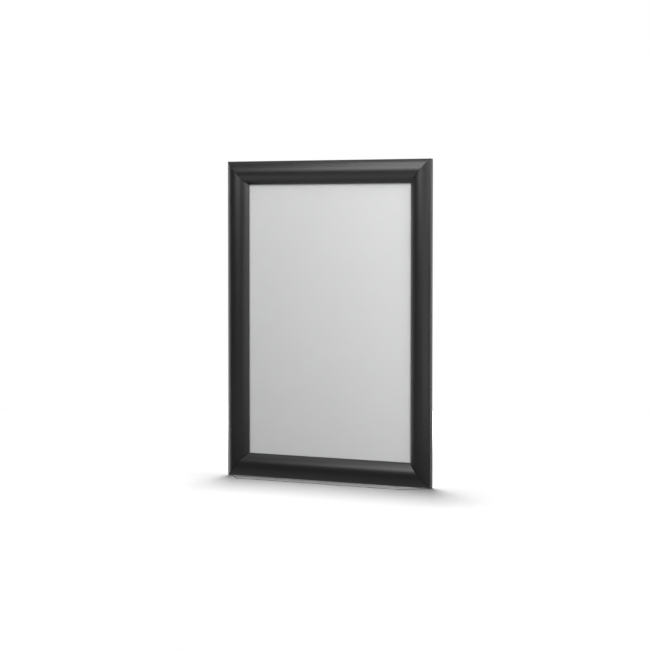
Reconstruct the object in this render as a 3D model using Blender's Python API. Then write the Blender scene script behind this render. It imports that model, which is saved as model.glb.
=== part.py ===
"""Snap-open poster frame for an A4 sheet: four mitred snap rails round a backing panel and a clear sheet.

Metres, +Z up. The front faces -Y, and the wall plane is at the back, on the +Y side.
The origin is the centre of the closed frame's box.

Rail sections are drawn as points (u, v): u runs inwards from the rail's outer edge,
and v runs forwards from the wall plane. Angles in a section are degrees from +u towards +v.
"""

import math

import bmesh
import bpy
from mathutils import Vector

MM = 0.001

# Sheet and frame
SHEET_WIDTH = 210 * MM
SHEET_HEIGHT = 297 * MM
RAIL_WIDTH = 24 * MM
RAIL_DEPTH = 11 * MM

# Gaps between pieces
SEAT_GAP = 0.3 * MM
MITRE_GAP = 0.3 * MM

# Base rail: a flat bed on the wall, with a channel for corner keys and springs
BED_THICKNESS = 1 * MM
BED_SETBACK = 2 * MM  # how far the bed stops short of the cover's lip
RIB_THICKNESS = 1 * MM
FLANGE_WIDTH = 0.8 * MM
FLANGE_THICKNESS = 0.8 * MM
FIXING_HOLE_RADIUS = 2.25 * MM
HEAD_POCKET_RADIUS = 4.75 * MM
HEAD_POCKET_SINK = 0.2 * MM

# Hinge: a bead on the cover turns in a barrel along the base rail's outer edge
BEAD_RADIUS = 1 * MM
BEAD_CLEARANCE = 0.25 * MM
BARREL_WALL = 1.15 * MM
BARREL_ROOT = 1.3 * MM  # wall that carries the barrel on the bed
HINGE_HEIGHT = 4.4 * MM
OPEN_ANGLE = 95
SOCKET_PLAY = 6  # degrees left between the hook's arm and the barrel at each end of the swing

# Snap cover: an arched skin, with a hook below it that ends in the hinge bead
COVER_WALL = 1.2 * MM
COVER_EDGE_WALL = 1 * MM
COVER_EDGE_ANGLE = 130
LIP_NOSE = 1.2 * MM
LIP_FOOT = 1.8 * MM
LIP_FILLET = 0.4 * MM
HOOK_WALL = 0.9 * MM
HOOK_ARM_ANGLE = -10
HOOK_PLAY = 0.35 * MM  # room between the barrel and the hook's web
HOOK_SWING = 0.35 * MM  # room between the hook's web and the spring's nose
HOOK_SETBACK = 2 * MM  # how far the hook stops short of the mitre

# Leaf springs, two in each rail
SPRING_THICKNESS = 0.4 * MM
SPRING_LENGTH = 30 * MM
SPRING_BEND = 0.6 * MM
SPRING_NOSE = 0.5 * MM  # how far the nose reaches past the hook's corner
SPRING_INSET = 75 * MM  # from the rail's outer corner to the middle of the spring

# Corner keys
KEY_THICKNESS = 1.4 * MM
KEY_WIDTH = 4 * MM
KEY_LEG = 30 * MM  # from the key's outer corner to the leg's tip
KEY_CHAMFER = 1 * MM

# Sheets held in the frame
PANEL_THICKNESS = 1 * MM
CLEAR_THICKNESS = 0.4 * MM
SHEET_CORNER = 1 * MM

# Facets
ARCH_STEP = 3
CURVE_STEP = 9
HOLE_SIDES = 32

# Places across the section, from the rail's outer edge to the sheet's edge. The cover's lip reaches further in.
socket_radius = BEAD_RADIUS + BEAD_CLEARANCE
barrel_radius = socket_radius + BARREL_WALL
relief_radius = barrel_radius + SEAT_GAP
web_face = 2 * barrel_radius + HOOK_PLAY + HOOK_WALL
rib_outer = web_face + HOOK_SWING + SPRING_THICKNESS + SEAT_GAP
channel_outer = rib_outer + RIB_THICKNESS
channel_inner = channel_outer + KEY_WIDTH + 2 * SEAT_GAP
channel_middle = (channel_inner + channel_outer) / 2
sheet_stop = channel_inner + RIB_THICKNESS
sheet_edge = sheet_stop + SEAT_GAP

FRAME_WIDTH = SHEET_WIDTH + 2 * sheet_edge
FRAME_HEIGHT = SHEET_HEIGHT + 2 * sheet_edge

# Levels above the wall plane
flange_bottom = BED_THICKNESS + KEY_THICKNESS + 2 * SEAT_GAP
flange_top = flange_bottom + FLANGE_THICKNESS
panel_bottom = BED_THICKNESS + SEAT_GAP
clear_bottom = panel_bottom + PANEL_THICKNESS + SEAT_GAP
lip_bottom = clear_bottom + CLEAR_THICKNESS + SEAT_GAP

# Mitre, hinge and hook
mitre_setback = MITRE_GAP / math.sqrt(2)
hinge = Vector((barrel_radius, HINGE_HEIGHT))
hook_corner = HINGE_HEIGHT + (web_face - hinge.x) * math.tan(math.radians(HOOK_ARM_ANGLE)) - HOOK_WALL / 2


def polar(centre, radius, angle):
    turn = math.radians(angle)
    return centre + radius * Vector((math.cos(turn), math.sin(turn)))


def arc(centre, radius, start, end, step=CURVE_STEP):
    """Points along an arc, both ends included."""
    count = max(1, math.ceil(abs(end - start) / step))
    return [polar(centre, radius, start + (end - start) * i / count) for i in range(count + 1)]


def fillet(before, corner, after, radius):
    """Arc that rounds a corner between two straight sides."""
    to_before = (before - corner).normalized()
    to_after = (after - corner).normalized()
    half = to_before.angle(to_after) / 2
    centre = corner + (to_before + to_after).normalized() * (radius / math.sin(half))
    tangents = [corner + side * (radius / math.tan(half)) for side in (to_before, to_after)]
    start, end = [math.degrees(math.atan2(*(point - centre).yx)) for point in tangents]
    sweep = (end - start + 180) % 360 - 180
    return arc(centre, radius, start, start + sweep, 3 * CURVE_STEP)


def rounded_path(points, radius):
    """An open path with every inner corner rounded."""
    path = [points[0]]
    for before, corner, after in zip(points, points[1:], points[2:]):
        path += fillet(before, corner, after, radius)
    return path + [points[-1]]


def ribbon_sides(path, thickness):
    """Left and right sides of a strip of even thickness along a path."""
    runs = [(b - a).normalized() for a, b in zip(path, path[1:])]
    runs = [runs[0]] + runs + [runs[-1]]
    left, right = [], []
    for point, before, after in zip(path, runs, runs[1:]):
        square = Vector((-before.y, before.x))
        middle = (square + Vector((-after.y, after.x))).normalized()
        reach = thickness / 2 / middle.dot(square)
        left.append(point + middle * reach)
        right.append(point - middle * reach)
    return left, right


def arch_circle(edge, lip, crest_height):
    """Centre and radius of the circle that passes edge and lip and is crest_height high."""
    edge_drop = crest_height - edge.y
    lip_drop = crest_height - lip.y
    span = lip.x - edge.x
    a = lip_drop - edge_drop
    b = 2 * span * edge_drop
    c = edge_drop * (lip_drop * edge_drop - span ** 2 - lip_drop ** 2)
    reach = -2 * c / (b + math.sqrt(b * b - 4 * a * c))
    radius = (reach ** 2 + edge_drop ** 2) / (2 * edge_drop)
    return Vector((edge.x + reach, crest_height - radius)), radius


def angle_of(point, centre):
    return math.degrees(math.atan2(point.y - centre.y, point.x - centre.x))


def base_section():
    """Outline of the base rail: bed, key channel, barrel root and open barrel."""
    mouth_inner = channel_inner - FLANGE_WIDTH
    mouth_outer = channel_outer + FLANGE_WIDTH
    arm_spread = math.degrees(math.asin(HOOK_WALL / 2 / socket_radius))
    mouth_start = HOOK_ARM_ANGLE - arm_spread - SOCKET_PLAY
    mouth_end = HOOK_ARM_ANGLE + OPEN_ANGLE + arm_spread + SOCKET_PLAY
    root_outer = hinge.x - BARREL_ROOT / 2
    root_inner = hinge.x + BARREL_ROOT / 2
    root_angle = math.degrees(math.acos(BARREL_ROOT / 2 / barrel_radius))
    bed = [
        Vector((root_outer, 0)),
        Vector((RAIL_WIDTH - BED_SETBACK, 0)),
        Vector((RAIL_WIDTH - BED_SETBACK, BED_THICKNESS)),
    ]
    inner_rib = [
        Vector((sheet_stop, BED_THICKNESS)),
        Vector((sheet_stop, flange_top)),
        Vector((mouth_inner, flange_top)),
        Vector((mouth_inner, flange_bottom)),
        Vector((channel_inner, flange_bottom)),
        Vector((channel_inner, BED_THICKNESS)),
    ]
    outer_rib = [
        Vector((channel_outer, BED_THICKNESS)),
        Vector((channel_outer, flange_bottom)),
        Vector((mouth_outer, flange_bottom)),
        Vector((mouth_outer, flange_top)),
        Vector((rib_outer, flange_top)),
        Vector((rib_outer, BED_THICKNESS)),
    ]
    root = [Vector((root_inner, BED_THICKNESS))]
    inner_cheek = arc(hinge, barrel_radius, -root_angle, mouth_start)
    socket = arc(hinge, socket_radius, mouth_start, mouth_end - 360)
    barrel = arc(hinge, barrel_radius, mouth_end, 180 + root_angle)
    return bed + inner_rib + outer_rib + root + inner_cheek + socket + barrel


def cover_arch():
    """Edge and lip corners of the cover's outer face, and the circle between them."""
    edge = polar(hinge, relief_radius + COVER_EDGE_WALL, COVER_EDGE_ANGLE)
    lip = Vector((RAIL_WIDTH, lip_bottom + LIP_NOSE))
    centre, radius = arch_circle(edge, lip, RAIL_DEPTH)
    return edge, lip, centre, radius


def cover_section():
    """Outline of the cover's arched skin, with the lip that holds the sheets down."""
    edge, lip, centre, radius = cover_arch()
    inner_radius = radius - COVER_WALL
    foot_side = RAIL_WIDTH - LIP_FOOT
    foot_top = centre.y + math.sqrt(inner_radius ** 2 - (foot_side - centre.x) ** 2)
    foot_corner = Vector((foot_side, lip_bottom))
    lip_corner = Vector((RAIL_WIDTH, lip_bottom))
    edge_turn = angle_of(edge, centre)
    outer = arc(centre, radius, edge_turn, angle_of(lip, centre), ARCH_STEP)
    nose = fillet(lip, lip_corner, foot_corner, LIP_FILLET) + [foot_corner]
    inner = arc(centre, inner_radius, angle_of(Vector((foot_side, foot_top)), centre), edge_turn, ARCH_STEP)
    return outer + nose + inner


def hook_section():
    """Outline of the hook: hinge bead, arm, and the web that runs up into the skin."""
    edge, lip, centre, radius = cover_arch()
    web_middle = web_face - HOOK_WALL / 2
    elbow_drop = (web_middle - hinge.x) * math.tan(math.radians(HOOK_ARM_ANGLE))
    elbow = Vector((web_middle, HINGE_HEIGHT + elbow_drop))
    skin_middle = centre.y + math.sqrt((radius - COVER_WALL / 2) ** 2 - (web_middle - centre.x) ** 2)
    neck = math.degrees(math.asin(HOOK_WALL / 2 / BEAD_RADIUS))
    start = polar(hinge, BEAD_RADIUS * math.cos(math.radians(neck)), HOOK_ARM_ANGLE)
    left, right = ribbon_sides([start, elbow, Vector((web_middle, skin_middle))], HOOK_WALL)
    bead = arc(hinge, BEAD_RADIUS, HOOK_ARM_ANGLE + neck, HOOK_ARM_ANGLE - neck + 360)
    return bead + right[1:] + left[:0:-1]


def spring_section():
    """Outline of a leaf spring: foot in the channel, riser, bridge over the rib, and nose."""
    half = SPRING_THICKNESS / 2
    foot_level = BED_THICKNESS + SEAT_GAP + half
    riser = channel_outer + FLANGE_WIDTH + SEAT_GAP + half
    bridge_level = flange_top + SEAT_GAP + half
    nose = rib_outer - SEAT_GAP - half
    path = rounded_path([
        Vector((channel_inner - SEAT_GAP, foot_level)),
        Vector((riser, foot_level)),
        Vector((riser, bridge_level)),
        Vector((nose, bridge_level)),
        Vector((nose, hook_corner - SPRING_NOSE)),
    ], SPRING_BEND)
    left, right = ribbon_sides(path, SPRING_THICKNESS)
    return left + right[::-1]


def key_outline():
    """L-shaped outline of a corner key, as distances in from the two outer edges."""
    near = channel_outer + SEAT_GAP
    far = near + KEY_WIDTH
    tip = near + KEY_LEG
    leg = [
        Vector((near + KEY_CHAMFER, near)),
        Vector((tip - KEY_CHAMFER, near)),
        Vector((tip, near + KEY_CHAMFER)),
        Vector((tip, far - KEY_CHAMFER)),
        Vector((tip - KEY_CHAMFER, far)),
    ]
    other_leg = [point.yx for point in reversed(leg)]
    return leg + [Vector((far, far))] + other_leg


def sheet_outline():
    """Outline of a sheet that fills the frame, with its corners just broken."""
    x = SHEET_WIDTH / 2
    z = SHEET_HEIGHT / 2
    corners = [Vector((x, z)), Vector((-x, z)), Vector((-x, -z)), Vector((x, -z))]
    outline = []
    for i, corner in enumerate(corners):
        outline += fillet(corners[i - 1], corner, corners[(i + 1) % 4], SHEET_CORNER)
    return outline


def finish(name, colour, roughness, metallic):
    material = bpy.data.materials.new(name)
    material.use_nodes = True
    shader = material.node_tree.nodes["Principled BSDF"]
    shader.inputs["Base Color"].default_value = (*colour, 1)
    shader.inputs["Roughness"].default_value = roughness
    shader.inputs["Metallic"].default_value = metallic
    return material


def solid_between(name, near_points, far_points):
    """Closed solid between two like outlines, smooth along its curves."""
    shape = bmesh.new()
    near = [shape.verts.new(point) for point in near_points]
    far = [shape.verts.new(point) for point in far_points]
    shape.faces.new(near)
    shape.faces.new(far)
    for i in range(len(near)):
        shape.faces.new((near[i - 1], near[i], far[i], far[i - 1]))
    bmesh.ops.recalc_face_normals(shape, faces=shape.faces)
    mesh = bpy.data.meshes.new(name)
    shape.to_mesh(mesh)
    shape.free()
    mesh.shade_smooth()
    mesh.set_sharp_from_angle(angle=math.radians(30))
    piece = bpy.data.objects.new(name, mesh)
    bpy.context.collection.objects.link(piece)
    return piece


def rail_prism(name, outline, half_length, axis=Vector((0, 0)), mitred=False):
    """Run a section along X, with square or mitred ends. axis is the point of the section at the origin."""
    def end_at(u):
        return half_length - u - mitre_setback if mitred else half_length

    ends = [
        [(side * end_at(p.x), axis.y - p.y, axis.x - p.x) for p in outline]
        for side in (-1, 1)
    ]
    return solid_between(name, *ends)


def plate(name, outline, bottom, thickness):
    """Flat piece parallel to the wall, drawn in X and Z."""
    faces = [[(p.x, -level, p.y) for p in outline] for level in (bottom, bottom + thickness)]
    return solid_between(name, *faces)


def cutter(piece):
    piece.hide_render = True
    piece.display_type = "WIRE"
    return piece


def round_cutter(name, radius, bottom, top):
    """Round cutter square to the wall, from one level to another, on the key channel's middle."""
    middle = Vector((0, -channel_middle))
    return cutter(plate(name, arc(middle, radius, 0, 360, 360 / HOLE_SIDES)[:-1], bottom, top - bottom))


def combine(piece, tool, operation):
    step = piece.modifiers.new(tool.name, "BOOLEAN")
    step.operation = operation
    step.object = tool


def attach(piece, parent, material=None, place=(0, 0, 0)):
    piece.parent = parent
    piece.location = place
    if material:
        piece.data.materials.append(material)
    return piece


def empty(name, place, turn=0):
    """Empty on the wall plane, turned about Y."""
    guide = bpy.data.objects.new(name, None)
    guide.location = (place[0], RAIL_DEPTH / 2, place[1])
    guide.rotation_euler.y = math.radians(turn)
    bpy.context.collection.objects.link(guide)
    return guide


for leftover in list(bpy.data.objects):
    bpy.data.objects.remove(leftover, do_unlink=True)

base_finish = finish("base_rail", (0.024, 0.024, 0.025), 0.5, 0.0)
cover_finish = finish("snap_cover", (0.022, 0.022, 0.023), 0.4, 0.0)
spring_finish = finish("leaf_spring", (0.55, 0.55, 0.56), 0.35, 1.0)
key_finish = finish("corner_key", (0.5, 0.51, 0.52), 0.5, 1.0)
panel_finish = finish("back_panel", (0.6, 0.6, 0.6), 0.6, 0.0)
clear_finish = finish("clear_sheet", (0.8, 0.8, 0.8), 0.3, 0.0)


def build_side(side, guide, length):
    """One rail: base with its fixing hole, hinged cover, and two leaf springs."""
    half = length / 2
    base = attach(rail_prism(f"base_rail_{side}", base_section(), half, mitred=True), guide, base_finish)
    pocket_bottom = BED_THICKNESS - HEAD_POCKET_SINK
    hole = round_cutter(f"fixing_hole_{side}", FIXING_HOLE_RADIUS, -BED_THICKNESS, 2 * BED_THICKNESS)
    pocket = round_cutter(f"head_pocket_{side}", HEAD_POCKET_RADIUS, pocket_bottom, flange_top + BED_THICKNESS)
    for tool in (hole, pocket):
        attach(tool, guide)
        combine(base, tool, "DIFFERENCE")

    on_hinge = (0, -hinge.y, -hinge.x)
    cover = rail_prism(f"snap_cover_{side}", cover_section(), half, hinge, mitred=True)
    attach(cover, guide, cover_finish, on_hinge)
    relief_section = arc(hinge, relief_radius, 0, 360)[:-1]
    relief = cutter(rail_prism(f"barrel_relief_{side}", relief_section, length, hinge))
    hook = cutter(rail_prism(f"hook_{side}", hook_section(), half - web_face - HOOK_SETBACK, hinge))
    for tool, operation in ((relief, "DIFFERENCE"), (hook, "UNION")):
        attach(tool, guide, None, on_hinge)
        combine(cover, tool, operation)

    for number, direction in enumerate((-1, 1), start=1):
        spring = rail_prism(f"leaf_spring_{side}_{number}", spring_section(), SPRING_LENGTH / 2)
        attach(spring, guide, spring_finish, (direction * (half - SPRING_INSET), 0, 0))


half_width = FRAME_WIDTH / 2
half_height = FRAME_HEIGHT / 2
build_side("top", empty("top_edge", (0, half_height)), FRAME_WIDTH)
build_side("right", empty("right_edge", (half_width, 0), 90), FRAME_HEIGHT)
build_side("bottom", empty("bottom_edge", (0, -half_height), 180), FRAME_WIDTH)
build_side("left", empty("left_edge", (-half_width, 0), 270), FRAME_HEIGHT)

key_shape = [Vector((point.x, -point.y)) for point in key_outline()]
corners = {
    "top_left": (-half_width, half_height, 0),
    "top_right": (half_width, half_height, 90),
    "bottom_right": (half_width, -half_height, 180),
    "bottom_left": (-half_width, -half_height, 270),
}
for corner, (x, z, turn) in corners.items():
    key = plate(f"corner_key_{corner}", key_shape, BED_THICKNESS + SEAT_GAP, KEY_THICKNESS)
    attach(key, empty(f"{corner}_corner", (x, z), turn), key_finish)

middle = empty("frame_middle", (0, 0))
attach(plate("back_panel", sheet_outline(), panel_bottom, PANEL_THICKNESS), middle, panel_finish)
attach(plate("clear_sheet", sheet_outline(), clear_bottom, CLEAR_THICKNESS), middle, clear_finish)
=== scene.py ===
"""Looks of a snap-open poster frame: four mitred black rails round a pale panel under a clear sheet.

Metres, +Z up, front towards -Y. Rail sections are drawn as points (u, v): u runs inwards from the rail's
outer edge and v forwards from the wall. Angles in a section are degrees from +u towards +v.
"""

import math

import bmesh
import bpy
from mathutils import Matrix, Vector


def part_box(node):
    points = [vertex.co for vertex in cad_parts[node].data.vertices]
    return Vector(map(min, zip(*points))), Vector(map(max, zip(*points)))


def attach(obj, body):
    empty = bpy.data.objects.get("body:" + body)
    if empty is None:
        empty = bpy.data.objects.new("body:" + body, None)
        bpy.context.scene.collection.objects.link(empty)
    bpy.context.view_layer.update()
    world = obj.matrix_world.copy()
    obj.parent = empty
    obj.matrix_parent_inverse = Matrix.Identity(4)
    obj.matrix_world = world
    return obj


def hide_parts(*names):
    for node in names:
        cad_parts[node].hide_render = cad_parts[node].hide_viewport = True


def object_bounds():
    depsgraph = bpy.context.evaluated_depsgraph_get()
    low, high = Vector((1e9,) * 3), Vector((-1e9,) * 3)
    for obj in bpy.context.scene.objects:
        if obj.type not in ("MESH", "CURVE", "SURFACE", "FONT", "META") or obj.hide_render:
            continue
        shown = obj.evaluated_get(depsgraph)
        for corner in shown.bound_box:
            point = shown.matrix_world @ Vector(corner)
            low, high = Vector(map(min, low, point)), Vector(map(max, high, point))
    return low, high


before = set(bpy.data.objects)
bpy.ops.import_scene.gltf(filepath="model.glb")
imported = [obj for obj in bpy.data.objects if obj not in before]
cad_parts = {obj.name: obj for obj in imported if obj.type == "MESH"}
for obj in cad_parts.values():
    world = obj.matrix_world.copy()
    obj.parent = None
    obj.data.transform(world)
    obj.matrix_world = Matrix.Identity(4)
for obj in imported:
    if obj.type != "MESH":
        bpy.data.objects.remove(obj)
cad_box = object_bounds()


# Base rails
# Four extruded aluminium strips with a black satin coating, flat on the wall and mitred at the corners.
# Each has an open hinge barrel along its outer edge, a channel for keys and springs, and one screw hole.

mm = 0.001
half_width, wall, half_height = cad_box[1]
rail_depth = wall - cad_box[0][1]
rail_width = half_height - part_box("snap_cover_top")[0][2]
mitre_gap = 0.3 * mm
mitre_setback = mitre_gap / math.sqrt(2)
seat_gap = 0.3 * mm

bed_thickness = 1.0 * mm
bed_setback = 2.0 * mm
rib_thickness = 1.0 * mm
lip_cover = 10.0 * mm
channel_width = 4.6 * mm
flange_width = 0.8 * mm
flange_bottom = 3.0 * mm
flange_top = 3.8 * mm
socket_radius = 1.25 * mm
barrel_radius = 2.4 * mm
barrel_root = 1.3 * mm
mouth_start = -37.1
mouth_end = 112.1
screw_hole_radius = 2.25 * mm
head_pocket_radius = 4.75 * mm
head_pocket_sink = 0.2 * mm
base_edge_round = 0.14 * mm

merge_distance = 0.001 * mm
hole_sides = 48
barrel_step = 5
socket_step = 8
corner_step = 24
corner_share = 0.45
curve_half_angle = 78
sharp_angle = 32

sheet_stop = rail_width - lip_cover - seat_gap
channel_inner = sheet_stop - rib_thickness
channel_outer = channel_inner - channel_width
rib_outer = channel_outer - rib_thickness
channel_middle = (channel_inner + channel_outer) / 2
hinge = Vector((barrel_radius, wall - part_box("base_rail_top")[0][1] - barrel_radius))

sides = {
    "top": (0.0, half_height, 0, half_width),
    "right": (half_width, 0.0, 90, half_height),
    "bottom": (0.0, -half_height, 180, half_width),
    "left": (-half_width, 0.0, 270, half_height),
}


def on_circle(centre, radius, angle):
    turn = math.radians(angle)
    return centre + radius * Vector((math.cos(turn), math.sin(turn)))


def arc(centre, radius, start, end, step):
    """Points along an arc, both ends included."""
    count = max(1, math.ceil(abs(end - start) / step))
    return [on_circle(centre, radius, start + (end - start) * i / count) for i in range(count + 1)]


def angle_of(point, centre):
    return math.degrees(math.atan2(point.y - centre.y, point.x - centre.x))


def soften(outline, radius):
    """Closed outline, its sharp corners rounded as far as their sides allow. Points of curves stay."""
    soft = []
    for before, corner, after in zip(outline[-1:] + outline[:-1], outline, outline[1:] + outline[:1]):
        back = before - corner
        ahead = after - corner
        half = back.angle(ahead) / 2
        if half > math.radians(curve_half_angle):
            soft.append(corner)
            continue
        fit = min(radius, corner_share * min(back.length, ahead.length) * math.tan(half))
        centre = corner + (back.normalized() + ahead.normalized()).normalized() * (fit / math.sin(half))
        start = angle_of(corner + back.normalized() * (fit / math.tan(half)), centre)
        end = angle_of(corner + ahead.normalized() * (fit / math.tan(half)), centre)
        sweep = (end - start + 180) % 360 - 180
        soft += arc(centre, fit, start, start + sweep, corner_step)
    return soft


def section_mesh(name, outline):
    """Flat face in the plane x 0 that a tree draws out into a rail."""
    flat = bmesh.new()
    face = flat.faces.new([flat.verts.new((0, -point.y, -point.x)) for point in outline])
    face.normal_update()
    if face.normal.x < 0:
        face.normal_flip()
    mesh = bpy.data.meshes.new(name)
    flat.to_mesh(mesh)
    flat.free()
    return mesh


class Wire:
    """A socket in a node tree. Sums on wires add Math nodes, and node() adds any other node."""

    def __init__(self, tree, socket=None):
        self.tree = tree
        self.socket = socket

    def node(self, kind, settings, sockets, output=0):
        """Add a node, apply its settings, then fill its sockets with values, a wire or a list of wires."""
        made = self.tree.nodes.new(kind)
        for name, value in settings.items():
            setattr(made, name, value)
        for name, value in sockets.items():
            if isinstance(value, (Wire, list)):
                for wire in value if isinstance(value, list) else [value]:
                    self.tree.links.new(wire.socket, made.inputs[name])
            else:
                made.inputs[name].default_value = value
        return Wire(self.tree, made.outputs[output]) if made.outputs else None

    def outlet(self, name):
        """Another output of the node that this wire comes from."""
        return Wire(self.tree, self.socket.node.outputs[name])

    def maths(self, operation, first, second):
        return self.node("ShaderNodeMath", {"operation": operation}, {0: first, 1: second})

    def __add__(self, other):
        return self.maths("ADD", self, other)

    __radd__ = __add__

    def __sub__(self, other):
        return self.maths("SUBTRACT", self, other)

    def __mul__(self, other):
        return self.maths("MULTIPLY", self, other)

    __rmul__ = __mul__


def shape_tree(name, inputs):
    """New Geometry Nodes tree with these named inputs, as a dict of wires."""
    tree = bpy.data.node_groups.new(name, "GeometryNodeTree")
    tree.interface.new_socket("Geometry", in_out="OUTPUT", socket_type="NodeSocketGeometry")
    for label, kind in inputs.items():
        tree.interface.new_socket(label, in_out="INPUT", socket_type=f"NodeSocket{kind}")
    entry = tree.nodes.new("NodeGroupInput")
    return {label: Wire(tree, entry.outputs[label]) for label in inputs}


def end_tree(shape, material):
    realized = shape.node("GeometryNodeRealizeInstances", {}, {"Geometry": shape})
    finished = shape.node("GeometryNodeSetMaterial", {}, {"Geometry": realized, "Material": material})
    shape.node("NodeGroupOutput", {}, {"Geometry": finished})
    return shape.tree


def run_along(section, half_length, setback=None):
    """Draw a flat section out along X to both ends: mitred if a setback is given, otherwise square."""
    drawn = section.node("GeometryNodeExtrudeMesh", {"mode": "FACES"}, {
        "Mesh": section, "Offset": (1, 0, 0), "Offset Scale": 1, "Individual": False})
    near_end = section.node("GeometryNodeFlipFaces", {}, {"Mesh": section})
    both = section.node("GeometryNodeJoinGeometry", {}, {"Geometry": [drawn, near_end]})
    closed = section.node("GeometryNodeMergeByDistance", {}, {"Geometry": both, "Distance": merge_distance})
    place = section.node("GeometryNodeInputPosition", {}, {})
    x = section.node("ShaderNodeSeparateXYZ", {}, {0: place})
    y = x.outlet("Y")
    z = x.outlet("Z")
    reach = half_length + z - setback if setback else half_length
    end = section.node("ShaderNodeCombineXYZ", {}, {"X": (2 * x - 1) * reach, "Y": y, "Z": z})
    return section.node("GeometryNodeSetPosition", {}, {"Geometry": closed, "Position": end})


def keep_grain(shape):
    """Store each point's place on the unturned piece, for materials with a grain that runs along it."""
    place = shape.node("GeometryNodeInputPosition", {}, {})
    return shape.node(
        "GeometryNodeStoreNamedAttribute", {"data_type": "FLOAT_VECTOR", "domain": "POINT"},
        {"Geometry": shape, "Name": "grain", "Value": place})


def set_on_edge(shape, inputs):
    """Move a rail from the origin to its edge of the frame."""
    turn = shape.node("ShaderNodeCombineXYZ", {}, {"Y": inputs["Turn"]})
    place = shape.node("ShaderNodeCombineXYZ", {}, {
        "X": inputs["Edge X"], "Y": inputs["Wall"], "Z": inputs["Edge Z"]})
    return shape.node("GeometryNodeTransform", {}, {
        "Geometry": shape, "Translation": place, "Rotation": turn})


def grow(name, mesh, tree, values):
    """Run a tree on a mesh and keep the result as a plain mesh, smooth along its curves."""
    piece = bpy.data.objects.new(name, mesh)
    bpy.context.collection.objects.link(piece)
    step = piece.modifiers.new(name, "NODES")
    step.node_group = tree
    for item in tree.interface.items_tree:
        if item.in_out == "INPUT" and item.name in values:
            step[item.identifier] = values[item.name]
    grown = bpy.data.meshes.new_from_object(piece.evaluated_get(bpy.context.evaluated_depsgraph_get()))
    piece.modifiers.remove(step)
    piece.data = grown
    grown.name = name
    grown.shade_smooth()
    grown.set_sharp_from_angle(angle=math.radians(sharp_angle))
    return piece


def new_finish(name):
    """New material with an empty tree, as a wire to start its nodes from."""
    material = bpy.data.materials.new(name)
    material.use_nodes = True
    material.node_tree.nodes.clear()
    return material, Wire(material.node_tree)


def noise(start, place, scale, detail=2.0):
    return start.node("ShaderNodeTexNoise", {}, {
        "Vector": place, "Scale": scale, "Detail": detail}, "Fac")


def stretch(start, place, scales):
    return start.node("ShaderNodeVectorMath", {"operation": "MULTIPLY"}, {0: place, 1: scales})


def blend_colours(start, amount, first, second):
    return start.node("ShaderNodeMix", {"data_type": "RGBA"}, {
        0: amount, 6: (*first, 1), 7: (*second, 1)}, 2)


def end_finish(start, sockets):
    shader = start.node("ShaderNodeBsdfPrincipled", {}, sockets)
    start.node("ShaderNodeOutputMaterial", {}, {"Surface": shader})


def satin_black(name, shade, roughness):
    """Black powder coat on an extrusion: faint orange peel, and die lines that run along the rail."""
    material, start = new_finish(name)
    place = start.node("ShaderNodeAttribute", {"attribute_name": "grain"}, {}, "Vector")
    peel = noise(start, place, 1500.0)
    drift = noise(start, place, 35.0, 3.0)
    die_lines = noise(start, stretch(start, place, (9.0, 2400.0, 2400.0)), 1.0)
    lighter = [1.35 * channel for channel in shade]
    colour = blend_colours(start, 0.65 * drift + 0.35 * die_lines, shade, lighter)
    height = 0.7 * peel + 0.3 * die_lines
    bump = start.node("ShaderNodeBump", {}, {"Strength": 0.15, "Distance": 0.02 * mm, "Height": height})
    end_finish(start, {
        "Base Color": colour,
        "Roughness": roughness + 0.08 * (drift - 0.5) + 0.06 * (peel - 0.5),
        "IOR": 1.62,
        "Normal": bump,
    })
    return material


def base_section():
    """Outline of a base rail: bed, key channel between two ribs, barrel root and open barrel."""
    bed_edge = rail_width - bed_setback
    mouth_inner = channel_inner - flange_width
    mouth_outer = channel_outer + flange_width
    root_angle = math.degrees(math.acos(barrel_root / 2 / barrel_radius))
    flat = [Vector(point) for point in (
        (hinge.x - barrel_root / 2, 0),
        (bed_edge, 0),
        (bed_edge, bed_thickness),
        (sheet_stop, bed_thickness),
        (sheet_stop, flange_top),
        (mouth_inner, flange_top),
        (mouth_inner, flange_bottom),
        (channel_inner, flange_bottom),
        (channel_inner, bed_thickness),
        (channel_outer, bed_thickness),
        (channel_outer, flange_bottom),
        (mouth_outer, flange_bottom),
        (mouth_outer, flange_top),
        (rib_outer, flange_top),
        (rib_outer, bed_thickness),
        (hinge.x + barrel_root / 2, bed_thickness),
    )]
    cheek = arc(hinge, barrel_radius, -root_angle, mouth_start, barrel_step)
    socket = arc(hinge, socket_radius, mouth_start, mouth_end - 360, socket_step)
    barrel = arc(hinge, barrel_radius, mouth_end, 180 + root_angle, barrel_step)
    return soften(flat + cheek + socket + barrel, base_edge_round)


def round_cutter(start, radius, bottom, top):
    """Round cutter square to the wall, on the channel's middle."""
    post = start.node("GeometryNodeMeshCylinder", {}, {
        "Vertices": hole_sides, "Radius": radius, "Depth": top - bottom})
    return start.node("GeometryNodeTransform", {}, {
        "Geometry": post,
        "Translation": (0, -(bottom + top) / 2, -channel_middle),
        "Rotation": (math.radians(90), 0, 0),
    })


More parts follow.
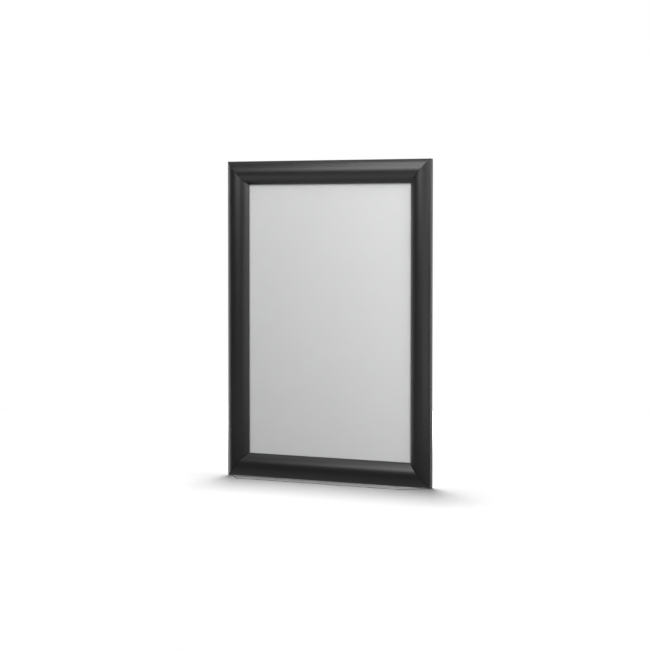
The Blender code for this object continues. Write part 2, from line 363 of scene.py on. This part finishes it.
rail_inputs = {
    "Geometry": "Geometry", "Half Length": "Float", "Mitre Setback": "Float", "Turn": "Float",
    "Edge X": "Float", "Edge Z": "Float", "Wall": "Float", "Material": "Material",
}
base_in = shape_tree("base_rail", {**rail_inputs, "Hole Radius": "Float", "Pocket Radius": "Float"})
base_shape = run_along(base_in["Geometry"], base_in["Half Length"], base_in["Mitre Setback"])
screw_hole = round_cutter(base_shape, base_in["Hole Radius"], -bed_thickness, 2 * bed_thickness)
head_pocket = round_cutter(
    base_shape, base_in["Pocket Radius"], bed_thickness - head_pocket_sink, flange_top + bed_thickness)
base_shape = base_shape.node("GeometryNodeMeshBoolean", {"operation": "DIFFERENCE", "solver": "EXACT"}, {
    0: base_shape, 1: [screw_hole, head_pocket]})
base_tree = end_tree(set_on_edge(keep_grain(base_shape), base_in), base_in["Material"])

base_coat = satin_black("base_rail_coat", (0.004, 0.004, 0.0042), 0.42)
base_face = section_mesh("base_section", base_section())


def edge_values(side):
    """Tree inputs that set a rail on its side of the frame."""
    x, z, turn, half_length = sides[side]
    return {
        "Half Length": half_length, "Mitre Setback": mitre_setback, "Turn": math.radians(turn),
        "Edge X": x, "Edge Z": z, "Wall": wall,
    }


for side in sides:
    base_rail = grow(f"base_rail_{side}_coated", base_face, base_tree, {
        **edge_values(side), "Material": base_coat,
        "Hole Radius": screw_hole_radius, "Pocket Radius": head_pocket_radius})
    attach(base_rail, "frame")
    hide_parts(f"base_rail_{side}")


# Corner keys
# Four L-shaped pressings of zinc-plated steel, one in each corner, that hold the base rails together.
# A key's legs slide into the channels of two rails; its edges are rounded by the press.

key_thickness = 1.4 * mm
key_width = 4.0 * mm
key_leg = 30.0 * mm
key_chamfer = 1.0 * mm
key_edge_round = 0.18 * mm


def key_outline():
    """L-shaped outline, as distances in from the frame's two outer edges."""
    near = channel_outer + seat_gap
    far = near + key_width
    tip = near + key_leg
    leg = [Vector(point) for point in (
        (near + key_chamfer, near),
        (tip - key_chamfer, near),
        (tip, near + key_chamfer),
        (tip, far - key_chamfer),
        (tip - key_chamfer, far),
    )]
    return leg + [Vector((far, far))] + [point.yx for point in reversed(leg)]


def key_mesh():
    """One key for the top left corner, seen from the frame's corner on the wall."""
    bottom = bed_thickness + seat_gap
    key = bmesh.new()
    face = key.faces.new([key.verts.new((point.x, -bottom, -point.y)) for point in key_outline()])
    drawn = bmesh.ops.extrude_face_region(key, geom=[face])
    moved = [item for item in drawn["geom"] if isinstance(item, bmesh.types.BMVert)]
    bmesh.ops.translate(key, verts=moved, vec=(0, -key_thickness, 0))
    bmesh.ops.recalc_face_normals(key, faces=key.faces)
    bmesh.ops.bevel(key, geom=key.edges, offset=key_edge_round, segments=2, profile=0.5, affect="EDGES")
    mesh = bpy.data.meshes.new("corner_key")
    key.to_mesh(mesh)
    key.free()
    return mesh


def hidden_pattern(name, mesh):
    """Object that a tree copies from. It is removed once its copies are made."""
    pattern = bpy.data.objects.new(name, mesh)
    bpy.context.collection.objects.link(pattern)
    return pattern


def marked_points(name, places):
    """Mesh of loose points, one for each (place, turn in degrees), with the turn as an attribute."""
    mesh = bpy.data.meshes.new(name)
    mesh.from_pydata([place for place, turn in places], [], [])
    turns = mesh.attributes.new("turn", "FLOAT", "POINT")
    for mark, (place, turn) in zip(turns.data, places):
        mark.value = math.radians(turn)
    return mesh


def copy_to_points(shape, points):
    turn = points.node("GeometryNodeInputNamedAttribute", {"data_type": "FLOAT"}, {
        "Name": "turn"}, "Attribute")
    about_y = points.node("ShaderNodeCombineXYZ", {}, {"Y": turn})
    return points.node("GeometryNodeInstanceOnPoints", {}, {
        "Points": points, "Instance": shape, "Rotation": about_y})


def zinc_plate(name):
    """Bright zinc plating: cloudy patches over a fine crystal grain."""
    material, start = new_finish(name)
    place = start.node("ShaderNodeAttribute", {"attribute_name": "grain"}, {}, "Vector")
    clouds = noise(start, place, 260.0, 4.0)
    crystals = start.node("ShaderNodeTexVoronoi", {}, {"Vector": place, "Scale": 1800.0}, "Distance")
    colour = blend_colours(start, clouds, (0.43, 0.44, 0.46), (0.58, 0.59, 0.6))
    bump = start.node("ShaderNodeBump", {}, {"Strength": 0.2, "Distance": 0.02 * mm, "Height": crystals})
    end_finish(start, {
        "Base Color": colour,
        "Metallic": 1.0,
        "Roughness": 0.36 + 0.2 * clouds,
        "Normal": bump,
    })
    return material


key_in = shape_tree("corner_keys", {"Geometry": "Geometry", "Key": "Object", "Material": "Material"})
one_key = key_in["Key"].node("GeometryNodeObjectInfo", {}, {"Object": key_in["Key"]}, "Geometry")
key_tree = end_tree(copy_to_points(keep_grain(one_key), key_in["Geometry"]), key_in["Material"])
key_pattern = hidden_pattern("corner_key_pattern", key_mesh())
corner_points = marked_points("frame_corners", [
    ((-half_width, wall, half_height), 0),
    ((half_width, wall, half_height), 90),
    ((half_width, wall, -half_height), 180),
    ((-half_width, wall, -half_height), 270),
])
corner_keys = grow("corner_keys_plated", corner_points, key_tree, {
    "Key": key_pattern, "Material": zinc_plate("corner_key_zinc")})
bpy.data.objects.remove(key_pattern)
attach(corner_keys, "frame")
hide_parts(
    "corner_key_top_left", "corner_key_top_right",
    "corner_key_bottom_right", "corner_key_bottom_left")


# Leaf springs
# Eight bent strips of rolled spring steel, two in each rail, that snap the cover shut and hold it open.
# The foot sits in the rail's channel, the bridge passes over the rib, and the nose works on the hook.

spring_thickness = 0.4 * mm
spring_length = 30.0 * mm
spring_bend = 0.6 * mm
spring_inset = 75.0 * mm
spring_nose = 0.5 * mm
spring_edge_round = 0.1 * mm
bend_step = 15

hook_swing = 0.35 * mm
hook_wall = 0.9 * mm
hook_arm_angle = -10
hook_arm_slope = math.tan(math.radians(hook_arm_angle))
hook_web_face = rib_outer - seat_gap - spring_thickness - hook_swing
hook_corner = hinge.y + (hook_web_face - hinge.x) * hook_arm_slope - hook_wall / 2


def strip_sides(path, thickness):
    """Left and right sides of a strip of even thickness along a path."""
    runs = [(b - a).normalized() for a, b in zip(path, path[1:])]
    runs = [runs[0]] + runs + [runs[-1]]
    left, right = [], []
    for point, before, after in zip(path, runs, runs[1:]):
        square = Vector((-before.y, before.x))
        middle = (square + Vector((-after.y, after.x))).normalized()
        reach = thickness / 2 / middle.dot(square)
        left.append(point + middle * reach)
        right.append(point - middle * reach)
    return left, right


def spring_section():
    """Outline across a spring, bent from the foot to the nose."""
    half = spring_thickness / 2
    foot_level = bed_thickness + seat_gap + half
    riser = channel_outer + flange_width + seat_gap + half
    bridge_level = flange_top + seat_gap + half
    nose = rib_outer - seat_gap - half
    bends = [Vector(point) for point in (
        (channel_inner - seat_gap, foot_level),
        (riser, foot_level),
        (riser, bridge_level),
        (nose, bridge_level),
        (nose, hook_corner - spring_nose),
    )]
    path = [bends[0]]
    for before, corner, after in zip(bends, bends[1:], bends[2:]):
        back = (before - corner).normalized()
        ahead = (after - corner).normalized()
        centre = corner + (back + ahead) * spring_bend
        start = angle_of(corner + back * spring_bend, centre)
        end = angle_of(corner + ahead * spring_bend, centre)
        path += arc(centre, spring_bend, start, start + (end - start + 180) % 360 - 180, bend_step)
    left, right = strip_sides(path + [bends[-1]], spring_thickness)
    return soften(left + right[::-1], spring_edge_round)


def rolled_steel(name):
    """Bright strip steel with fine rolling streaks along the strip and a few dull smears."""
    material, start = new_finish(name)
    place = start.node("ShaderNodeAttribute", {"attribute_name": "grain"}, {}, "Vector")
    streaks = noise(start, stretch(start, place, (60.0, 5000.0, 5000.0)), 1.0, 3.0)
    smears = noise(start, place, 140.0, 3.0)
    colour = blend_colours(start, 0.6 * streaks + 0.4 * smears, (0.46, 0.46, 0.47), (0.64, 0.64, 0.65))
    bump = start.node("ShaderNodeBump", {}, {"Strength": 0.15, "Distance": 0.01 * mm, "Height": streaks})
    end_finish(start, {
        "Base Color": colour,
        "Metallic": 1.0,
        "Roughness": 0.22 + 0.14 * streaks + 0.1 * smears,
        "Normal": bump,
    })
    return material


spring_in = shape_tree("leaf_springs", {
    "Geometry": "Geometry", "Section": "Object", "Half Length": "Float", "Material": "Material"})
strip = spring_in["Section"].node("GeometryNodeObjectInfo", {}, {
    "Object": spring_in["Section"]}, "Geometry")
one_spring = keep_grain(run_along(strip, spring_in["Half Length"]))
spring_tree = end_tree(copy_to_points(one_spring, spring_in["Geometry"]), spring_in["Material"])
spring_pattern = hidden_pattern("leaf_spring_pattern", section_mesh("spring_section", spring_section()))
spring_places = []
for x, z, turn, half_length in sides.values():
    for direction in (-1, 1):
        offset = direction * (half_length - spring_inset)
        along = Vector((math.cos(math.radians(turn)), 0, -math.sin(math.radians(turn))))
        spring_places.append((Vector((x, wall, z)) + offset * along, turn))
leaf_springs = grow("leaf_springs_rolled", marked_points("spring_places", spring_places), spring_tree, {
    "Section": spring_pattern, "Half Length": spring_length / 2,
    "Material": rolled_steel("leaf_spring_steel")})
bpy.data.objects.remove(spring_pattern)
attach(leaf_springs, "frame")
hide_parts(*[f"leaf_spring_{side}_{number}" for side in sides for number in (1, 2)])


# Backing panel
# One sheet of pale grey polystyrene, as big as the poster. It lies on the rails' beds between their ribs.
# Its face is matt, with the faint mottle of an extruded sheet.


def grey_sheet(name):
    material, start = new_finish(name)
    place = start.node("ShaderNodeTexCoord", {}, {}, "Object")
    mottle = noise(start, place, 28.0, 4.0)
    colour = blend_colours(start, mottle, (0.535, 0.535, 0.538), (0.545, 0.545, 0.547))
    end_finish(start, {
        "Base Color": colour,
        "Roughness": 0.5 + 0.1 * mottle,
    })
    return material


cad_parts["back_panel"].material_slots[0].material = grey_sheet("back_panel_grey")


# Clear sheet
# One thin sheet of clear PVC over the panel, under the covers' lips, that keeps the poster clean.
# Its anti-glare face is etched, so it shows as a soft veil and not as a mirror.


def etched_clear(name):
    material, start = new_finish(name)
    place = start.node("ShaderNodeTexCoord", {}, {}, "Object")
    haze = noise(start, place, 22.0, 3.0)
    end_finish(start, {
        "Base Color": blend_colours(start, haze, (0.74, 0.743, 0.746), (0.76, 0.763, 0.766)),
        "Roughness": 0.42 + 0.1 * haze,
        "Alpha": 0.17 + 0.02 * haze,
    })
    return material


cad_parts["clear_sheet"].material_slots[0].material = etched_clear("clear_sheet_etched")


# Snap covers
# Four arched aluminium extrusions, coated satin black and mitred at the corners, with a lip over the sheet.
# A hook under each skin ends in a bead that turns in the base rail's barrel, so the cover swings outwards.

cover_wall = 1.2 * mm
cover_edge_wall = 1.0 * mm
cover_edge_angle = 130
lip_bottom = 3.3 * mm
lip_nose = 1.2 * mm
lip_foot = 1.8 * mm
relief_radius = barrel_radius + seat_gap
bead_radius = 1.0 * mm
hook_setback = 2.0 * mm
cover_edge_round = 0.35 * mm

arch_step = 2
relief_step = 4
bead_step = 8


def arch_circle(edge, lip, crest):
    """Centre and radius of the circle that passes edge and lip and is as high as the crest."""
    edge_drop = crest - edge.y
    lip_drop = crest - lip.y
    span = lip.x - edge.x
    a = lip_drop - edge_drop
    b = 2 * span * edge_drop
    c = edge_drop * (lip_drop * edge_drop - span ** 2 - lip_drop ** 2)
    reach = -2 * c / (b + math.sqrt(b * b - 4 * a * c))
    radius = (reach ** 2 + edge_drop ** 2) / (2 * edge_drop)
    return Vector((edge.x + reach, crest - radius)), radius


cover_edge = on_circle(hinge, relief_radius + cover_edge_wall, cover_edge_angle)
cover_lip = Vector((rail_width, lip_bottom + lip_nose))
arch_centre, arch_radius = arch_circle(cover_edge, cover_lip, rail_depth)


def circle_crossing(first, first_radius, second, second_radius):
    """The crossing of two circles that lies on the left of the way from the first to the second."""
    way = second - first
    along = (way.length ** 2 + first_radius ** 2 - second_radius ** 2) / (2 * way.length)
    across = math.sqrt(first_radius ** 2 - along ** 2)
    unit = way.normalized()
    return first + unit * along + Vector((-unit.y, unit.x)) * across


def skin_section():
    """Outline of the cover's skin: arched outer face, lip, inner face, and a hollow round the barrel."""
    edge_turn = angle_of(cover_edge, arch_centre)
    inner_radius = arch_radius - cover_wall
    foot_side = rail_width - lip_foot
    foot_top = arch_centre.y + math.sqrt(inner_radius ** 2 - (foot_side - arch_centre.x) ** 2)
    outer = arc(arch_centre, arch_radius, edge_turn, angle_of(cover_lip, arch_centre), arch_step)
    nose = [Vector((rail_width, lip_bottom)), Vector((foot_side, lip_bottom))]
    inner_end = circle_crossing(hinge, relief_radius, arch_centre, inner_radius)
    foot_turn = angle_of(Vector((foot_side, foot_top)), arch_centre)
    inner = arc(arch_centre, inner_radius, foot_turn, angle_of(inner_end, arch_centre), arch_step)
    inward = (arch_centre - cover_edge).normalized()
    to_hinge = hinge - cover_edge
    depth = to_hinge.dot(inward)
    aside = to_hinge.length_squared - depth ** 2
    relief_end = cover_edge + inward * (depth - math.sqrt(relief_radius ** 2 - aside))
    relief = arc(hinge, relief_radius, angle_of(inner_end, hinge), angle_of(relief_end, hinge), relief_step)
    return soften(outer + nose + inner + relief[1:], cover_edge_round)


def hook_section():
    """Outline of the hook: hinge bead, arm, and the web that runs up into the skin."""
    web_middle = hook_web_face - hook_wall / 2
    elbow = Vector((web_middle, hinge.y + (web_middle - hinge.x) * hook_arm_slope))
    middle_radius = arch_radius - cover_wall / 2
    skin_middle = arch_centre.y + math.sqrt(middle_radius ** 2 - (web_middle - arch_centre.x) ** 2)
    neck = math.degrees(math.asin(hook_wall / 2 / bead_radius))
    start = on_circle(hinge, bead_radius * math.cos(math.radians(neck)), hook_arm_angle)
    left, right = strip_sides([start, elbow, Vector((web_middle, skin_middle))], hook_wall)
    bead = arc(hinge, bead_radius, hook_arm_angle + neck, hook_arm_angle - neck + 360, bead_step)
    return soften(bead + right[1:] + left[:0:-1], base_edge_round)


cover_in = shape_tree("snap_cover", {**rail_inputs, "Hook": "Object", "Hook Half Length": "Float"})
skin = run_along(cover_in["Geometry"], cover_in["Half Length"], cover_in["Mitre Setback"])
hook_flat = skin.node("GeometryNodeObjectInfo", {}, {"Object": cover_in["Hook"]}, "Geometry")
hook = run_along(hook_flat, cover_in["Hook Half Length"])
cover_shape = skin.node("GeometryNodeMeshBoolean", {"operation": "UNION", "solver": "EXACT"}, {
    1: [skin, hook]})
cover_tree = end_tree(set_on_edge(keep_grain(cover_shape), cover_in), cover_in["Material"])

cover_coat = satin_black("snap_cover_coat", (0.0035, 0.0035, 0.0037), 0.34)
skin_face = section_mesh("skin_section", skin_section())
hook_pattern = hidden_pattern("hook_pattern", section_mesh("hook_section", hook_section()))
for side in sides:
    values = edge_values(side)
    snap_cover = grow(f"snap_cover_{side}_coated", skin_face, cover_tree, {
        **values, "Material": cover_coat, "Hook": hook_pattern,
        "Hook Half Length": values["Half Length"] - hook_web_face - hook_setback})
    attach(snap_cover, f"cover_{side}")
    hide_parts(f"snap_cover_{side}")
bpy.data.objects.remove(hook_pattern)


# Floor and studio
# A pale floor that shows only the frame's shadow, with a shallow recess for the opened bottom cover.
# One soft box lights the floor alone, the others the frame alone. Of these, one group shows only in
# reflections, for the rails' highlights, and one lights only matt faces, for the panel's paleness.

floor_gap = 0.2 * mm
floor_level = cad_box[0][2] - floor_gap
floor_reach = 0.8
fade_start = 0.25
recess_depth = 5.3 * mm
recess_front = -21.5 * mm
recess_back = 4.2 * mm
recess_margin = 1.0 * mm


def pale_floor(name):
    """Matt pale finish that fades out with the distance from the frame."""
    material, start = new_finish(name)
    place = start.node("ShaderNodeTexCoord", {}, {}, "Object")
    cloud = noise(start, place, 3.0)
    away = start.node("ShaderNodeVectorMath", {"operation": "LENGTH"}, {0: place}, "Value")
    fade = start.node("ShaderNodeMapRange", {"interpolation_type": "SMOOTHSTEP"}, {
        "Value": away, "From Min": floor_reach, "From Max": fade_start})
    end_finish(start, {
        "Base Color": blend_colours(start, cloud, (0.79, 0.79, 0.79), (0.81, 0.81, 0.81)),
        "Roughness": 0.9,
        "Specular IOR Level": 0.0,
        "Alpha": fade,
    })
    return material


def floor_piece(name, corners, faces):
    """Piece of the stage, with the pale floor finish."""
    mesh = bpy.data.meshes.new(name)
    mesh.from_pydata(corners, [], faces)
    mesh.materials.append(floor_finish)
    piece = bpy.data.objects.new(name, mesh)
    bpy.context.collection.objects.link(piece)
    return piece


def ring(front_side, front, back_side, back, level):
    """Corners of a level outline: front left, front right, back right, back left."""
    return [
        (-front_side, front, level), (front_side, front, level),
        (back_side, back, level), (-back_side, back, level)]


def recess_ring(level):
    """Outline of the opened bottom cover on the floor, narrower in front because of its mitres."""
    back_side = half_width + recess_margin
    return ring(back_side - rail_width, recess_front, back_side, recess_back, level)


floor_finish = pale_floor("floor_pale")
floor_edge = ring(floor_reach, -floor_reach, floor_reach, floor_reach, floor_level)
recess_corners = recess_ring(floor_level) + recess_ring(floor_level - recess_depth)
flat_faces = [(0, 1, 5, 4), (1, 2, 6, 5), (2, 3, 7, 6), (3, 0, 4, 7)]
recess_faces = [(4, 5, 9, 8), (8, 9, 10, 11)]
floor = floor_piece("floor", floor_edge + recess_corners, flat_faces + recess_faces)
floor.is_shadow_catcher = True
recess_walls = floor_piece("recess_walls", recess_corners, [(1, 2, 6, 5), (2, 3, 7, 6), (3, 0, 4, 7)])
for piece in (floor, recess_walls):
    piece.visible_diffuse = False
    piece.visible_glossy = False


def lit_only(name, link_state):
    """Receivers of a lamp that lights the floor alone (INCLUDE), or all but the floor (EXCLUDE)."""
    receivers = bpy.data.collections.new(name)
    receivers.objects.link(floor)
    receivers.collection_objects[0].light_linking.link_state = link_state
    return receivers


def towards(azimuth, elevation):
    """Direction from the frame, by azimuth from the front towards the right and elevation, in degrees."""
    turn = math.radians(azimuth)
    lift = math.radians(elevation)
    return Vector((math.sin(turn) * math.cos(lift), -math.cos(turn) * math.cos(lift), math.sin(lift)))


def soft_box(name, place, size, radiance, receivers):
    """Area light that faces the frame's middle. Its power follows from how bright its face is."""
    lamp = bpy.data.lights.new(name, "AREA")
    lamp.shape = "RECTANGLE"
    lamp.size, lamp.size_y = size
    lamp.energy = radiance * math.pi * lamp.size * lamp.size_y
    box = bpy.data.objects.new(name, lamp)
    box.location = place
    box.rotation_euler = place.to_track_quat("Z", "Y").to_euler()
    box.visible_camera = False
    box.light_linking.receiver_collection = receivers
    bpy.context.collection.objects.link(box)
    return box


frame_alone = lit_only("all_but_floor", "EXCLUDE")
floor_alone = lit_only("floor_alone", "INCLUDE")
floor_card = soft_box("floor_card", Vector((0, -0.55, floor_level)), (1.2, 0.7), 0.36, frame_alone)
floor_card.rotation_euler = (math.pi, 0, 0)  # lies on the floor and faces up
highlight_boxes = [
    floor_card,
    soft_box("high_box", 0.7 * towards(-22, 53), (0.19, 0.16), 7.0, frame_alone),
    soft_box("middle_box", 0.7 * towards(-18, 34), (0.27, 0.23), 4.4, frame_alone),
    soft_box("low_box", 0.8 * towards(-16, 22), (0.5, 0.18), 3.6, frame_alone),
    soft_box("near_box", 0.58 * towards(60, 42), (0.35, 0.35), 8.5, frame_alone),
    soft_box("right_card", Vector((0.16, -0.24, 0.05)), (0.22, 0.34), 0.5, frame_alone),
    soft_box("right_strip", 0.8 * towards(60, 3), (0.15, 0.5), 0.7, frame_alone),
    soft_box("side_strip", 0.8 * towards(92, 0), (0.3, 0.4), 7.0, frame_alone),
    soft_box("left_strip", 1.0 * towards(-92, 2), (0.2, 0.9), 2.2, frame_alone),
]
for box in highlight_boxes:
    box.visible_diffuse = False
matt_boxes = [
    soft_box("panel_front_box", 1.3 * towards(-16, 37), (0.6, 0.45), 8.6, frame_alone),
    soft_box("panel_low_box", 1.3 * towards(-4, 18), (0.5, 0.35), 6.4, frame_alone),
    soft_box("panel_right_box", 0.58 * towards(60, 42), (0.35, 0.35), 8.8, frame_alone),
    soft_box("panel_fill_box", 0.55 * towards(50, -18), (0.2, 0.2), 13.0, frame_alone),
    soft_box("back_box", 1.5 * towards(195, 25), (0.8, 0.8), 9.0, frame_alone),
]
for box in matt_boxes:
    box.visible_glossy = False
soft_box("top_box", 1.38 * towards(212, 79), (0.25, 0.6), 42.0, floor_alone)

matt_share = 0.25  # of the backdrop's light, what reaches matt faces
world = bpy.data.worlds.new("studio")
bpy.context.scene.world = world
world.use_nodes = True
world.node_tree.nodes.clear()
studio = Wire(world.node_tree)
way = studio.node("ShaderNodeTexCoord", {}, {}, "Generated")
depth = studio.node("ShaderNodeSeparateXYZ", {}, {0: way}, "Y")
height = depth.outlet("Z")
white = studio.node("ShaderNodeMapRange", {"interpolation_type": "SMOOTHSTEP"}, {
    "Value": depth, "From Min": -0.1, "From Max": 0.3})
ground = studio.node("ShaderNodeMapRange", {"interpolation_type": "SMOOTHSTEP"}, {
    "Value": height, "From Min": -0.05, "From Max": -0.6, "To Min": 0.1, "To Max": 0.35})
ceiling = studio.node("ShaderNodeMapRange", {"interpolation_type": "SMOOTHSTEP"}, {
    "Value": height, "From Min": 0.65, "From Max": 0.9})
ray = studio.node("ShaderNodeLightPath", {}, {}, "Is Camera Ray")
mirrored = ray.outlet("Is Glossy Ray") + ray.outlet("Is Transmission Ray")
backdrop = studio.maths("MAXIMUM", white, ceiling) * studio.maths("MAXIMUM", mirrored, matt_share)
around = studio.maths("MAXIMUM", ground, backdrop)
light = studio.node("ShaderNodeBackground", {}, {
    "Color": (1, 1, 1, 1), "Strength": studio.maths("MAXIMUM", ray, around)})
studio.node("ShaderNodeOutputWorld", {}, {"Surface": light})


# Camera
# The photograph's view, from the right of the frame and a little above its middle. The lens is worked out
# from the focal length in pixels of the square image.

image_width = 650
focal_pixels = 2241.3
view_turn = 30.8
view_lift = 2.703
view_distance = 2.2661
view_target = Vector((-2.95 * mm, 0, -3.87 * mm))

lens = bpy.data.cameras.new("camera")
lens.sensor_width = 36
lens.lens = focal_pixels * lens.sensor_width / image_width
camera = bpy.data.objects.new("camera", lens)
camera.location = view_target + view_distance * towards(view_turn, view_lift)
camera.rotation_euler = towards(view_turn, view_lift).to_track_quat("Z", "Y").to_euler()
bpy.context.collection.objects.link(camera)
bpy.context.scene.camera = camera
bpy.context.scene.view_settings.view_transform = "Standard"
